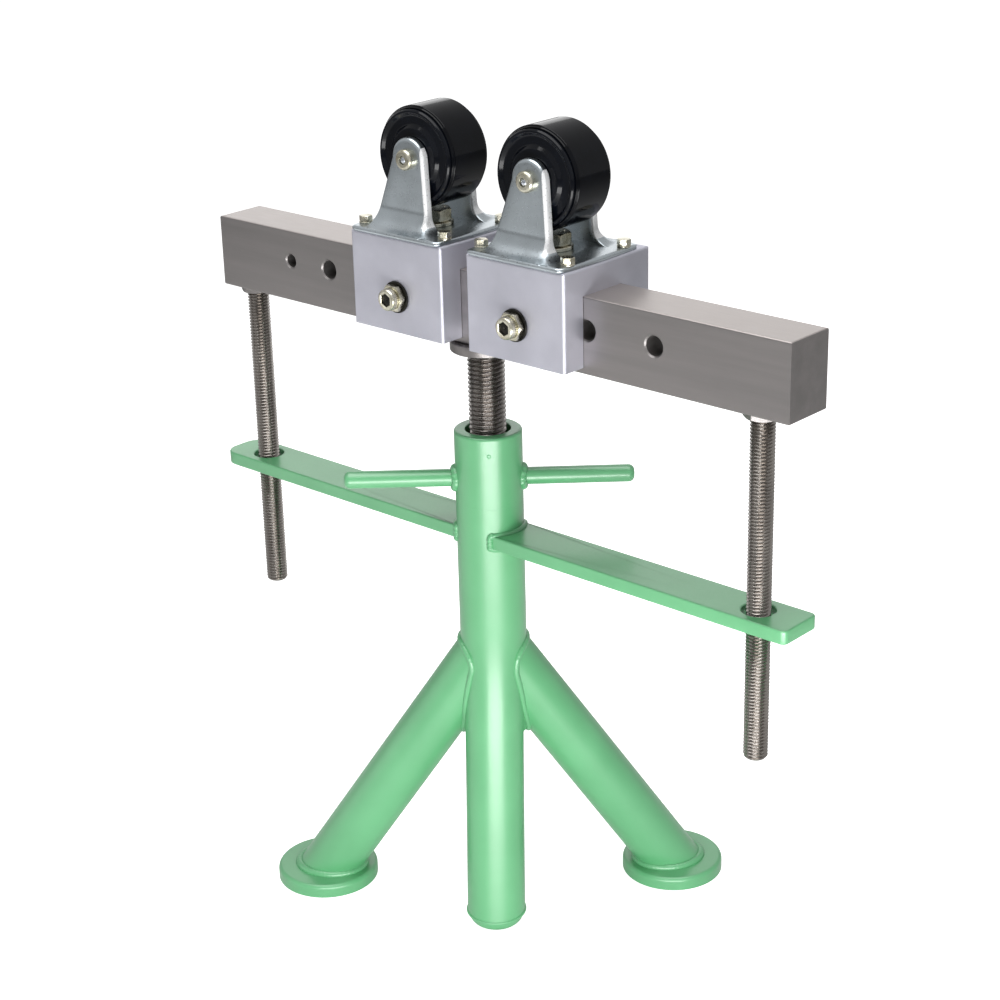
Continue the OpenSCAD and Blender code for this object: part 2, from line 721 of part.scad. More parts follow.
mast_tube();
thrust_washer();
front_leg();
left_leg();
right_leg();
front_foot_plug();
left_foot_disc();
right_foot_disc();
left_guide_arm();
right_guide_arm();
drive_tube();
drive_nut();
nut_pin();
left_handle();
right_handle();
handle_welds();
beam();
lead_screw();
screw_collar();
left_guide_rod();
right_guide_rod();
rod_lock_nuts();
left_saddle_block();
left_jam_nut();
left_jam_washer();
left_clamp_screw();
left_fork();
left_plate_bolts();
left_plate_washers();
left_centre_stud();
left_centre_nut();
left_centre_washer();
left_axle_bolt();
left_axle_nut();
left_axle_bushing();
left_wheel_core();
left_wheel_tread();
right_saddle_block();
right_jam_nut();
right_jam_washer();
right_clamp_screw();
right_fork();
right_plate_bolts();
right_plate_washers();
right_centre_stud();
right_centre_nut();
right_centre_washer();
right_axle_bolt();
right_axle_nut();
right_axle_bushing();
right_wheel_core();
right_wheel_tread();
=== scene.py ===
import bpy
import numpy as np
from mathutils import Matrix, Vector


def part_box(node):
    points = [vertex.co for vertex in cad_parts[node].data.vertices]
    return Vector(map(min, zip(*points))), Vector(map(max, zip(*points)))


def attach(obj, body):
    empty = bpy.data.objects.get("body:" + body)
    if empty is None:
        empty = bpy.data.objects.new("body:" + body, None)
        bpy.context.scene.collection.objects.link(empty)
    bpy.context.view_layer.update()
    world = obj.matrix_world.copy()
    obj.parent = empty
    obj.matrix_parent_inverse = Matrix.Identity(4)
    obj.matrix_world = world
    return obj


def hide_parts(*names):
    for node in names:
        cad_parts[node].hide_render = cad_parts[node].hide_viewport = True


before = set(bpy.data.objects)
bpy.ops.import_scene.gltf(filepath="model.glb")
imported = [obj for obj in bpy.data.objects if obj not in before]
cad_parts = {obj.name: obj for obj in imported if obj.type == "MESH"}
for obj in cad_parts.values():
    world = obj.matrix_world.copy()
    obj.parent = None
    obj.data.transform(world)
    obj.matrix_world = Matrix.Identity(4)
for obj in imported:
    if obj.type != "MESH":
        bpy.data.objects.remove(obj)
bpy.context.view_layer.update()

# Mast and legs: carbon steel tube, cut, coped, welded together and coated with green enamel.
# The side legs leave the mast through a smooth weld bead. The front leg is ground flush with it.
mast_low, mast_high = (np.array(corner) * 1000 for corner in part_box("mast_tube"))
MAST_Y = (mast_low[1] + mast_high[1]) / 2
MAST_R = (mast_high[0] - mast_low[0]) / 2
LEG_R = 20.65
LEG_JOIN = 205.0


def span(node):
    """The lowest and highest corner of a node's box, in millimetres about the mast's axis."""
    return (np.array(corner) * 1000 - [0, MAST_Y, 0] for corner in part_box(node))


def leaning(foot, share):
    """A leg's direction about the mast, and its tilt. Its axis passes the middle of its foot at a
    share of the foot's height."""
    low, high = span(foot)
    x, y = (low + high)[:2] / 2
    return np.arctan2(y, x), np.arctan2(np.hypot(x, y), LEG_JOIN - share * high[2])


FRONT_LEG = leaning("front_foot_plug", 1.0)
LEFT_LEG = leaning("left_foot_disc", 0.5)
RIGHT_LEG = leaning("right_foot_disc", 0.5)


def skin(name, body, material, rings=(), rods=(), replaces=(), sharp=40):
    """One mesh from grids of points, rows x columns x 3, whose columns go round and join last to
    first. In rings the rows join last to first as well. In rods the first and the last row each
    close on the middle of their points. A grid that encloses a negative volume is turned."""
    places, faces, start = [], [], 0
    for grid, ended in [(g, False) for g in rings] + [(g, True) for g in rods]:
        rows, cols = grid.shape[:2]
        index = np.arange(rows * cols).reshape(rows, cols)
        lower, upper = (index[:-1], index[1:]) if ended else (index, np.roll(index, -1, 0))
        quads = np.stack([lower, np.roll(lower, -1, 1), np.roll(upper, -1, 1), upper], -1)
        quads = quads.reshape(-1, 4)
        corners = [quads[:, [0, 1, 2]], quads[:, [0, 2, 3]]]
        points = grid.reshape(-1, 3)
        if ended:
            points = np.vstack([points, grid[0].mean(0), grid[-1].mean(0)])
            first, last = index[0], index[-1]
            foot, head = np.full(cols, rows * cols), np.full(cols, rows * cols + 1)
            corners.append(np.stack([np.roll(first, -1), first, foot], -1))
            corners.append(np.stack([last, np.roll(last, -1), head], -1))
        tris = np.vstack(corners)
        a, b, c = (points[tris[:, k]] - points.mean(0) for k in range(3))
        if np.einsum("ij,ij->i", a, np.cross(b, c)).sum() < 0:
            tris = tris[:, ::-1]
        places.append(points)
        faces.append(tris + start)
        start += len(points)
    points, tris = np.vstack(places), np.vstack(faces)
    mesh = bpy.data.meshes.new(name)
    mesh.vertices.add(len(points))
    mesh.vertices.foreach_set("co", ((points + [0, MAST_Y, 0]) / 1000).ravel())
    mesh.loops.add(tris.size)
    mesh.loops.foreach_set("vertex_index", np.ascontiguousarray(tris, np.int32).ravel())
    mesh.polygons.add(len(tris))
    mesh.polygons.foreach_set("loop_start", np.arange(0, tris.size, 3, dtype=np.int32))
    mesh.polygons.foreach_set("use_smooth", np.ones(len(tris), bool))
    mesh.update(calc_edges=True)
    mesh.set_sharp_from_angle(angle=np.radians(sharp))
    mesh.materials.append(material)
    piece = bpy.data.objects.new(name, mesh)
    bpy.context.scene.collection.objects.link(piece)
    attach(piece, body)
    if replaces:
        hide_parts(*replaces)


def colour(code):
    """Linear red, green, blue and alpha from an sRGB hex value such as 7ABF8E."""
    part = np.array([int(code[k:k + 2], 16) for k in (0, 2, 4)]) / 255
    linear = np.where(part <= 0.04045, part / 12.92, ((part + 0.055) / 1.055) ** 2.4)
    return (*linear, 1.0)


def add(material, kind, fill=None, **settings):
    """A new node with its settings. fill gives each input a value, or another node's output."""
    node = material.node_tree.nodes.new(kind)
    for key, value in settings.items():
        setattr(node, key, value)
    for key, value in (fill or {}).items():
        if isinstance(value, bpy.types.NodeSocket):
            material.node_tree.links.new(value, node.inputs[key])
        else:
            node.inputs[key].default_value = value
    return node


def finish(name, dark, light, cell, grain, peak, rough, stretch=(1, 1, 1), **sockets):
    """A material whose colour drifts from dark to light over patches of cell millimetres. A fine
    relief, grain millimetres across and peak millimetres high, moves its roughness over the range
    rough, and is drawn out along an axis where stretch is below 1."""
    material = bpy.data.materials.new(name)
    material.use_nodes = True
    shader = material.node_tree.nodes["Principled BSDF"]
    place = add(material, "ShaderNodeTexCoord").outputs["Object"]
    along = add(material, "ShaderNodeMapping", {"Vector": place, "Scale": stretch}).outputs[0]
    patch = add(material, "ShaderNodeTexNoise",
                {"Vector": along, "Scale": 1000 / cell, "Detail": 3.0}).outputs["Fac"]
    tint = add(material, "ShaderNodeMapRange", {"Value": patch, "From Min": 0.3, "From Max": 0.7})
    mixed = add(material, "ShaderNodeMixRGB", {"Fac": tint.outputs[0], "Color1": colour(dark),
                                               "Color2": colour(light)})
    fine = add(material, "ShaderNodeTexNoise",
               {"Vector": along, "Scale": 1000 / grain, "Detail": 2.0}).outputs["Fac"]
    bump = add(material, "ShaderNodeBump", {"Height": fine, "Distance": peak / 1000})
    spread = add(material, "ShaderNodeMapRange",
                 {"Value": fine, "From Min": 0.25, "From Max": 0.75, "To Min": rough[0],
                  "To Max": rough[1]})
    for socket, source in (("Base Color", mixed.outputs[0]), ("Normal", bump.outputs[0]),
                           ("Roughness", spread.outputs[0])):
        material.node_tree.links.new(source, shader.inputs[socket])
    for key, value in sockets.items():
        shader.inputs[key.replace("_", " ")].default_value = value
    return material


# Green enamel: sprayed and baked gloss paint. It gives a soft wide sheen with a slight orange
# peel about 2 mm across, and drifts a little in tone where the coat is thicker.
enamel = finish("baked_green_enamel", "55A06C", "5DA974", 45, 2.2, 0.008, (0.36, 0.42),
                Specular_IOR_Level=0.9, Coat_Weight=0.3, Coat_Roughness=0.2, IOR=1.5)


def dress(material, *nodes):
    """Gives the objects of CAD nodes a material, in every slot that they have."""
    for node in nodes:
        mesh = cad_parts[node].data
        if not mesh.materials:
            mesh.materials.append(material)
        for k in range(len(mesh.materials)):
            mesh.materials[k] = material


dress(enamel, "mast_tube", "front_leg", "left_leg", "right_leg")


def angles(count):
    """Equal steps once round a circle."""
    return np.linspace(0, 2 * np.pi, count, endpoint=False)


def bead(path, radius, ripple=0.1):
    """A weld bead: a round section carried round a closed path. Its radius swells and shrinks by
    the share ripple about every 3 mm, as the overlapping pools of a weld do."""
    step = np.roll(path, -1, 0) - np.roll(path, 1, 0)
    ahead = step / np.linalg.norm(step, axis=1, keepdims=True)
    side = np.cross(ahead, path - path.mean(0))
    side /= np.linalg.norm(side, axis=1, keepdims=True)
    up = np.cross(side, ahead)
    hops = np.linalg.norm(np.roll(path, -1, 0) - path, axis=1)
    gone = np.concatenate([[0], np.cumsum(hops[:-1])])
    whole = gone[-1] + hops[-1]
    pools = max(1, round(whole / 3))
    size = radius * (1 + ripple * np.sin(2 * np.pi * pools * gone / whole))
    turn = angles(14)
    ring = up[:, None] * np.cos(turn)[None, :, None] + side[:, None] * np.sin(turn)[None, :, None]
    return path[:, None] + size[:, None, None] * ring


def turned(points, angle):
    """Points turned about the mast's axis."""
    c, s = np.cos(angle), np.sin(angle)
    return points @ np.array([[c, s, 0], [-s, c, 0], [0, 0, 1]])


def leg_lines(leg, around):
    """The lines along a leg's surface: a point of each at the joint, and the way that they run."""
    turn, tilt = leg
    out = LEG_R * np.stack([np.cos(around) * np.cos(tilt), np.sin(around),
                            np.cos(around) * np.sin(tilt)], -1)
    return (turned(out, turn) + [0, 0, LEG_JOIN],
            turned(np.array([[np.sin(tilt), 0, -np.cos(tilt)]]), turn)[0])


def leg_seam(leg, around):
    """Where a leg's surface leaves the mast, or the front leg if a side leg leaves that one later.
    Each line of the leg is cut with these round surfaces, and the farthest cut counts."""
    start, way = leg_lines(leg, around)
    front = leg_lines(FRONT_LEG, around)[1]
    far = np.full(len(around), -np.inf)
    tubes = [(np.array([0, 0, 1.0]), MAST_R), (front, LEG_R)]
    for axis, radius in tubes[:1] if leg is FRONT_LEG else tubes:
        p, q = np.cross(start - [0, 0, LEG_JOIN], axis), np.cross(way, axis)
        a, b, c = q @ q, p @ q, (p * p).sum(1) - radius ** 2
        room = b * b - a * c
        cut = np.where(room > 0, (np.sqrt(np.maximum(room, 0)) - b) / a, -np.inf)
        far = np.maximum(far, cut)
    return start + far[:, None] * way


WELD_R = 2.3
ALL_ROUND = angles(240) - np.pi
skin("leg_weld_beads", "base", enamel,
     rings=[bead(leg_seam(leg, ALL_ROUND), WELD_R, ripple=0.03) for leg in (LEFT_LEG, RIGHT_LEG)])

# Front blend: weld metal between the mast and the front leg, ground to a smooth hollow and coated
# with them, so that the one runs into the other without a line.


def ground_blend(turns, reach):
    """A strip over the front joint. For each turn about the mast's axis it starts on the mast,
    reach above the joint, passes close to the joint and ends on the leg, reach below it, along a
    curve that leaves both surfaces on their own slope. Its ends sink into them by 0.05 mm."""
    turn, tilt = FRONT_LEG
    around = np.radians(turns)
    seam = leg_seam(FRONT_LEG, around)
    way = leg_lines(FRONT_LEG, around)[1]
    share = np.linspace(0, 1, 25)[:, None, None]
    room = reach * np.clip(np.cos(around), 0.2, 1)[:, None]
    above, below = seam + room * [0, 0, 1.0], seam + room * way
    curve = (1 - share) ** 2 * above + 2 * share * (1 - share) * seam + share ** 2 * below
    out = turned(np.stack([np.cos(around), np.sin(around), 0 * around], -1), turn)
    lift = 0.06 * np.sin(np.pi * share) ** 0.5 - 0.05
    return np.concatenate([curve + lift * out, curve[::-1] - 0.6 * out])


skin("front_joint_blend", "base", enamel,
     rings=[ground_blend(np.linspace(-60, 60, 61), 26).transpose(1, 0, 2)], sharp=60)

# Feet: two turned steel discs welded under the side legs, and a pressed dome that closes the
# front leg, whose cut end is rolled over it. All of them are coated with the same enamel.
dress(enamel, "left_foot_disc", "right_foot_disc", "front_foot_plug")
DISC_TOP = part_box("left_foot_disc")[1].z * 1000
PLUG_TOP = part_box("front_foot_plug")[1].z * 1000


def leg_cut(leg, height):
    """The oval in which a level plane cuts a leg's surface."""
    start, way = leg_lines(leg, ALL_ROUND)
    return start + ((height - start[:, 2]) / way[2])[:, None] * way


skin("foot_weld_beads", "base", enamel,
     rings=[bead(leg_cut(leg, DISC_TOP + 0.4), 3.0, ripple=0.02) for leg in (LEFT_LEG, RIGHT_LEG)])
skin("front_foot_rim", "base", enamel,
     rings=[bead(leg_cut(FRONT_LEG, PLUG_TOP + 0.4), 0.9, ripple=0)])

# Guide arms: flat steel bar, sawn, drilled near the end for a guide rod and welded to the mast
# all round. The left arm's corners are ground round, the right arm's are only eased.
arm_low, arm_high = span("right_guide_arm")
ARM_LOW, ARM_TOP = arm_low[2], arm_high[2]
ARM_END, ARM_HALF = arm_high[:2]
rod_low, rod_high = span("right_guide_rod")
ROD_X = (rod_low[0] + rod_high[0]) / 2
ARM_HOLE_R = 11.0
ARM_EASE = 1.1


def rounded(corners, steps=6, hold=0.25):
    """A closed outline through corners (x, y, radius), counter-clockwise. Each corner becomes an
    arc that touches both sides, with a point a little way before and after it that keeps the
    shading of the sides flat."""
    spots = np.array([corner[:2] for corner in corners], float)
    outline = []
    for k, (x, y, radius) in enumerate(corners):
        here = np.array([x, y], float)
        back, on = spots[k - 1] - here, spots[(k + 1) % len(spots)] - here
        back, on = back / np.linalg.norm(back), on / np.linalg.norm(on)
        half = np.arccos(np.clip(back @ on, -1, 1)) / 2
        run = radius / np.tan(half)
        start, end = here + run * back, here + run * on
        middle = here + radius / np.sin(half) * (back + on) / np.linalg.norm(back + on)
        a0, a1 = (np.arctan2(*(p - middle)[::-1]) for p in (start, end))
        sweep = (a1 - a0 + np.pi) % (2 * np.pi) - np.pi
        turn = a0 + sweep * np.linspace(0, 1, steps + 1)
        arc = middle + radius * np.stack([np.cos(turn), np.sin(turn)], -1)
        outline += [start + hold * back, *arc, end + hold * on]
    return np.array(outline)


def arm(corner):
    """A flat bar with a hole near its end. A closed section, a rectangle between the hole and the
    outer edge with eased corners, is carried round the outline. The hole's points lie in the same
    directions from its middle as the outline's points do."""
    edge = rounded([(0, ARM_HALF, 0.01), (0, -ARM_HALF, 0.01), (ARM_END, -ARM_HALF, corner),
                    (ARM_END, ARM_HALF, corner)], hold=3.0)[6:]
    inner = np.linspace(ARM_HALF, -ARM_HALF, 18)[:, None] * [0, 1]
    inner[:, 0] = np.sqrt((MAST_R - 3) ** 2 - inner[:, 1] ** 2)
    far = edge[edge[:, 0] > 30]
    sides = np.linspace(0.02, 0.98, 40)[:, None]
    low = inner[-1] + sides * (far[0] - inner[-1])
    high = far[-1] + sides * (inner[0] - far[-1])
    outline = np.vstack([inner, low, far, high])
    ahead = np.roll(outline, -1, 0) - np.roll(outline, 1, 0)
    out = np.stack([ahead[:, 1], -ahead[:, 0]], -1)
    out /= np.linalg.norm(out, axis=1, keepdims=True)
    bearing = outline - [ROD_X, 0]
    bearing /= np.linalg.norm(bearing, axis=1, keepdims=True)
    turn = np.linspace(0, np.pi / 2, 5)
    depth = np.concatenate([[ARM_EASE + 0.4], ARM_EASE * (1 - np.sin(turn))])
    fall = np.concatenate([[0], ARM_EASE * (1 - np.cos(turn))])
    down, up = list(zip(depth, fall)), list(zip(depth[::-1], fall[::-1]))
    rows = [(outline - inset * out, ARM_TOP - drop) for inset, drop in down]
    rows += [(outline - inset * out, ARM_LOW + drop) for inset, drop in up]
    rows += [(bearing * (ARM_HOLE_R + inset) + [ROD_X, 0], ARM_LOW + drop) for inset, drop in down]
    rows += [(bearing * (ARM_HOLE_R + inset) + [ROD_X, 0], ARM_TOP - drop) for inset, drop in up]
    return np.array([np.column_stack([spots, np.full(len(spots), z)]) for spots, z in rows])


skin("right_flat_arm", "base", enamel, rings=[arm(4)],
     replaces=["right_guide_arm"])
skin("left_flat_arm", "base", enamel, rings=[arm(12) * [-1, 1, 1]],
     replaces=["left_guide_arm"])


def on_mast(outline, turn, height):
    """Puts a flat outline (across, up) on the mast's round surface, in a direction."""
    out = np.sqrt(np.maximum(MAST_R ** 2 - outline[:, 0] ** 2, 0))
    return turned(np.column_stack([out, outline[:, 0], outline[:, 1] + height]), turn)


def filled(outline, gap, count):
    """A closed outline whose steps longer than gap are each cut into count."""
    return np.concatenate([np.linspace(a, b, count, endpoint=False) if np.hypot(*(b - a)) > gap
                           else a[None] for a, b in zip(outline, np.roll(outline, -1, 0))])


root = rounded([(-ARM_HALF, ARM_LOW, 1.5), (ARM_HALF, ARM_LOW, 1.5), (ARM_HALF, ARM_TOP, 1.5),
                (-ARM_HALF, ARM_TOP, 1.5)])
skin("arm_weld_beads", "base", enamel,
     rings=[bead(on_mast(filled(root, 3, 12), turn, 0), WELD_R) for turn in (0, np.pi)])

# Drive tube: the turning top length of the mast's tube, with two round bars welded on as
# handles. The enamel covers the tube, the bars and the bulging welds round their roots.
dress(enamel, "left_handle", "right_handle")
handle_low, handle_high = span("right_handle")
HANDLE_TURN = np.radians(42.6)
HANDLE_Z = (handle_low[2] + handle_high[2]) / 2
drive_low, drive_high = span("drive_tube")
DRIVE_BORE, SKIRT_BORE = 15.5, 20.4


def upright(radius, height, turn):
    """Points at a radius and a height about the z axis, in the directions of turn."""
    return np.stack([radius * np.cos(turn), radius * np.sin(turn), height + 0 * turn], -1)


def lathe(profile, around=72):
    """A closed ring of outline points (radius, height) turned about the z axis."""
    return upright(profile[:, :1], profile[:, 1:], angles(around)[None])


# The tube's skirt comes down to a hair above the mast, outside the washer that carries it.
skirt_low = mast_high[2] + 0.03
skirt = [(DRIVE_BORE, drive_low[2], 0.1), (SKIRT_BORE, drive_low[2], 0.05),
         (SKIRT_BORE, skirt_low, 0.05), (MAST_R, skirt_low, 0.05), (MAST_R, drive_high[2], 2.0),
         (DRIVE_BORE, drive_high[2], 0.8)]
skin("drive_sleeve", "drive", enamel, rings=[lathe(rounded(skirt), 128)],
     replaces=["drive_tube"])


def circle(radius, count):
    """A circle of points across and up."""
    turn = angles(count)
    return radius * np.stack([np.cos(turn), np.sin(turn)], -1)


skin("handle_weld_rings", "drive", enamel,
     rings=[bead(on_mast(circle(6.4, 90), turn, HANDLE_Z), 3.1, ripple=0.06)
            for turn in (HANDLE_TURN, HANDLE_TURN + np.pi)], replaces=["handle_welds"])

# Nut pin: a short steel pin driven through the tube's wall into the nut, so that the two turn as
# one. Its domed end is painted over with the tube.
pin_low, pin_high = span("nut_pin")
pin_x, pin_y, pin_z = (pin_low + pin_high) / 2
pin_r = np.array([1.5, 1.5, 1.45, 1.1, 0.5])[:, None, None]
pin_out = np.array([14.0, 22.9, 23.25, 23.45, 23.5])[:, None]
pin_ring = circle(1, 24)[None] * pin_r
pin = np.stack([pin_out + 0 * pin_ring[..., 0], pin_ring[..., 0], pin_ring[..., 1] + pin_z], -1)
skin("pin_end", "drive", enamel, rods=[turned(pin, np.arctan2(pin_y, pin_x))],
     replaces=["nut_pin"])

# Nut and thrust washer: turned from bearing bronze, warm in tone and dull. The nut sits inside the
# tube on the lead screw, and the washer under the tube's end carries the load.
bronze = finish("turned_bearing_bronze", "8C6A38", "A98548", 8, 0.5, 0.01, (0.3, 0.45),
                Metallic=1.0)
dress(bronze, "drive_nut", "thrust_washer")

# Lead screw: a 1 in bar with a rolled coarse thread, dark with oil in its grooves, that hangs
# from the beam through a plain turned collar and goes down into the drive tube.
screw_low, screw_high = span("lead_screw")
SCREW_R = 12.7


def thread(radius, pitch, z, turn):
    """A thread's radius: it falls by 0.61 of the pitch into each groove and back, in straight
    flanks with a flat crest and root. The groove moves up by one pitch in each turn."""
    phase = (z / pitch - turn / (2 * np.pi)) % 1
    groove = np.clip(1.35 * (1 - np.abs(2 * phase - 1)) - 0.15, 0, 1)
    return radius - 0.61 * pitch * groove


def threaded_bar(radius, pitch, low, high, samples, around):
    """A threaded bar, with samples points up each pitch, cut back at both ends by a cone 1.5 mm
    high."""
    z = np.linspace(low, high, int((high - low) / pitch * samples) + 1)[:, None]
    turn = angles(around)[None]
    cone = radius - 1.5 + np.minimum(z - low, high - z)
    return upright(np.minimum(thread(radius, pitch, z, turn), cone), z, turn)


# Oiled steel: plain rolled thread, brownish grey metal with grime in patches about 20 mm across.
oiled = finish("oiled_rolled_steel", "6E6A67", "86817D", 20, 0.7, 0.004, (0.22, 0.3),
               Metallic=1.0)
skin("lead_screw_thread", "head", oiled,
     rods=[threaded_bar(SCREW_R, 3.175, screw_low[2], screw_high[2], 8, 48)],
     replaces=["lead_screw"], sharp=60)


def washer(radius, bore, low, high, ease):
    """A turned ring with eased corners."""
    return lathe(rounded([(bore, low, ease / 2), (radius, low, ease), (radius, high, ease),
                          (bore, high, ease / 2)], steps=4))


# Turned steel that has gone dull: a soft mid grey.
dull_steel = finish("dull_turned_steel", "6F6C6B", "8A8685", 12, 0.8, 0.01, (0.35, 0.5),
                    Metallic=1.0)
collar_low, collar_high = span("screw_collar")
skin("screw_collar_ring", "head", dull_steel,
     rings=[washer(24, SCREW_R, collar_low[2], collar_high[2], 0.8)], replaces=["screw_collar"])

# Guide rods: 5/8 in all-thread, screwed up into the beam and locked under it by a thin nut that
# has gone dull. Plain all-thread is brighter than the lead screw, with less oil on it.
ROD_R = 7.95
all_thread = finish("plain_all_thread", "827D79", "948F8A", 40, 0.7, 0.003, (0.24, 0.3),
                    Metallic=1.0)
rod = threaded_bar(ROD_R, 2.31, rod_low[2], rod_high[2], 6, 32)
for side, name in ((-1, "left"), (1, "right")):
    skin(f"{name}_rod_thread", "head", all_thread,
         rods=[rod + [side * ROD_X, 0, 0]], replaces=[f"{name}_guide_rod"], sharp=60)


def hexagon(flats, turn):
    """The radius of a hexagon, flats wide across its flats, in the directions of turn."""
    return flats / 2 / np.cos((turn + np.pi / 6) % (np.pi / 3) - np.pi / 6)


def hex_nut(flats, height, bore):
    """A six-sided nut standing on z = 0. Its radius is the hexagon's, held back near its faces by
    a 30 degree cone, and the bore has a small chamfer at each end."""
    chamfer = 0.6
    turn = angles(96)[None]
    rise = np.array([0, 0.12, 0.25, 0.4, 0.6, 0.8, 1.0])[:, None] * 0.0495 * flats
    side = np.minimum(hexagon(flats, turn), flats / 2 * 0.97 + rise * 1.73)
    hole = np.array([bore + chamfer, bore, bore, bore + chamfer])[:, None] + 0 * turn
    face = flats / 2 * 0.94 + 0 * turn
    r = np.concatenate([face, side, side[::-1], face, hole])
    z = np.concatenate([[[0]], rise, height - rise[::-1], [[height]],
                        [[height], [height - chamfer], [chamfer], [0]]])
    return upright(r, z, turn)


nut_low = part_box("rod_lock_nuts")[0].z * 1000
skin("rod_lock_nut_pair", "head", dull_steel,
     rings=[hex_nut(22, 6.5, ROD_R) + [side * ROD_X, 0, nut_low] for side in (-1, 1)],
     replaces=["rod_lock_nuts"], sharp=25)

# Beam: a solid rectangular aluminium bar, milled on all faces with its edges broken, and
# cross-drilled. The cutter leaves faint lines along it.
milled = finish("milled_aluminium_bar", "7A7776", "878382", 14, 1.0, 0.008, (0.36, 0.44),
                stretch=(0.06, 1, 1), Metallic=0.8)


def where(material):
    """The x, y and z of the point that is shaded, in metres."""
    place = add(material, "ShaderNodeTexCoord").outputs["Object"]
    return add(material, "ShaderNodeSeparateXYZ", {"Vector": place}).outputs


def repaint(material, mask, code):
    """Gives a material another colour where a mask is 1."""
    base = material.node_tree.nodes["Principled BSDF"].inputs["Base Color"]
    tone = add(material, "ShaderNodeMixRGB", {"Fac": mask, "Color1": base.links[0].from_socket,
                                              "Color2": colour(code)})
    material.node_tree.links.new(tone.outputs[0], base)


# The top is painted lighter than the milled sides: a painted highlight for the light from above.
painted_top_highlight = add(milled, "ShaderNodeMath",
             {0: where(milled)["Z"], 1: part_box("beam")[1].z - 0.0004}, operation="GREATER_THAN")
repaint(milled, painted_top_highlight.outputs[0], "A9A29F")
dress(milled, "beam")

# Saddle blocks: aluminium machined to an inverted U that slides on the beam, bead blasted to a
# fine matt grain with a cool tone.
blasted = finish("bead_blasted_aluminium", "B6B6C0", "C4C4CE", 34, 0.9, 0.008, (0.5, 0.56),
                 Metallic=0.8)
dress(blasted, "left_saddle_block", "right_saddle_block")

# Clamp screws: socket-head cap screws with a knurled head, through the block's front wall, each
# with a jam nut and a washer coloured near black as painted shade round the screw. Screws and
# nuts are zinc plated and passivated yellow, and a black cup in each socket is painted shade.
BLOCK_FRONT = -next(span("left_saddle_block"))[1]
SIDES = ("left", "right")
yellow_zinc = finish("yellow_zinc_plate", "A19C88", "D2CFC0", 5, 0.6, 0.004, (0.2, 0.32),
                     Metallic=1.0)
# Near-black steel for painted shade: the clamp washers, and the cups in the screws' sockets.
painted_shade_black = finish("painted_shade_black_steel", "232322", "34332F", 4, 0.6, 0.01, (0.35, 0.5),
                     Metallic=1.0)


def facing_front(grid, x, y, z):
    """Turns a grid so that its height runs towards the front, and puts its foot at x, y, z."""
    return np.stack([grid[..., 0] + x, y - grid[..., 2], grid[..., 1] + z], -1)


def socket_screw(length, radius, pitch, head_r, head_h, socket):
    """A socket-head screw from its tip: a thread of the given length, then a head whose side is
    knurled by 36 fine ridges, with a six-sided socket sunk half way into it."""
    turn = angles(144)[None]
    z = np.linspace(0, length, int(length / pitch * 6))[:, None]
    shank = np.minimum(thread(radius, pitch, z, turn), radius - 1 + z)
    knurl = head_r - 0.15 + 0.12 * np.cos(36 * turn)
    wall = hexagon(socket, turn)
    top = length + head_h
    rows = [(head_r - 0.9, length), (head_r - 0.3, length + 0.1), (knurl, length + 0.6),
            (knurl, top - 2.2)]
    rows += [(head_r - 1.8 + 1.65 * np.cos(a), top - 1.8 + 1.8 * np.sin(a))
             for a in np.radians([0, 20, 40, 60, 80, 90])]
    rows += [(wall + 0.9, top), (wall + 0.35, top), (wall, top - 0.35), (wall, top - head_h / 2),
             (wall * 0.9, top - head_h / 2)]
    r = np.concatenate([shank] + [row[0] + 0 * turn for row in rows])
    z = np.concatenate([z] + [np.array([[row[1]]]) for row in rows])
    return upright(r, z, turn)


# The washer's thickness and the screw head's height.
WASHER, HEAD = 1.5, 5.5
for name in SIDES:
    clamp_low, clamp_high = span(f"{name}_clamp_screw")
    x, clamp_z = (clamp_low + clamp_high)[[0, 2]] / 2
    carriage = f"{name}_carriage"
    # The washer's near-black colour is painted shade round the screw.
    skin(f"{name}_clamp_washer", carriage, painted_shade_black,
         rings=[facing_front(washer(10.75, 5.2, 0, WASHER, 0.4), x, -BLOCK_FRONT, clamp_z)],
         replaces=[f"{name}_jam_washer"])
    nut = turned(hex_nut(17, 4, 5.1), np.pi / 6)
    skin(f"{name}_clamp_nut", carriage, yellow_zinc,
         rings=[facing_front(nut, x, -BLOCK_FRONT - WASHER, clamp_z)],
         replaces=[f"{name}_jam_nut"], sharp=25)
    screw = socket_screw(clamp_high[1] - clamp_low[1] - HEAD, 5, 1.5, 7.5, HEAD, 8)
    skin(f"{name}_socket_screw", f"{name}_lock", yellow_zinc,
         rods=[facing_front(screw, x, clamp_high[1], clamp_z)],
         replaces=[f"{name}_clamp_screw"], sharp=35)
    # A thin black hex cup inside the socket: painted shade for its dark depth.
    shade_cup = hex_nut(7.9, 1.2, 0.4)
    skin(f"{name}_socket_shade", f"{name}_lock", painted_shade_black,
         rings=[facing_front(shade_cup, x, clamp_low[1] + 2.6, clamp_z)], sharp=25)

# Forks: pressed from sheet steel and zinc plated, each a 3 mm base plate and two 2.6 mm legs. The
# legs' edges are turned in behind them all round, their feet swept out to the plate's edge.
PLATE_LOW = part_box("left_fork")[0].z * 1000
PLATE_TOP = PLATE_LOW + 3
AXLES = {}
for name in SIDES:
    wheel_low, wheel_high = span(f"{name}_wheel_tread")
    AXLES[name] = (wheel_low[0] + wheel_high[0]) / 2
AXLE_Z = (wheel_low[2] + wheel_high[2]) / 2
SHEET = 2.6
BEND = 2.4
# Each leg's flat inside is 22.5 mm from the middle. Its outline has a round top about the axle
# and spreads to a foot, which on the right flares out in a quarter circle.
INNER = 22.5
CROWN_R = 14.0
FOOT_LEFT, FOOT_RIGHT = -32.8, 27.0
FLARE = 11.0
SWEEP = 13.5
# The plate's middle lies 2 mm left of the axle. Half its width and half its depth.
PLATE_MID = -2.0
PLATE_X, PLATE_Y = 40.5, 39.0
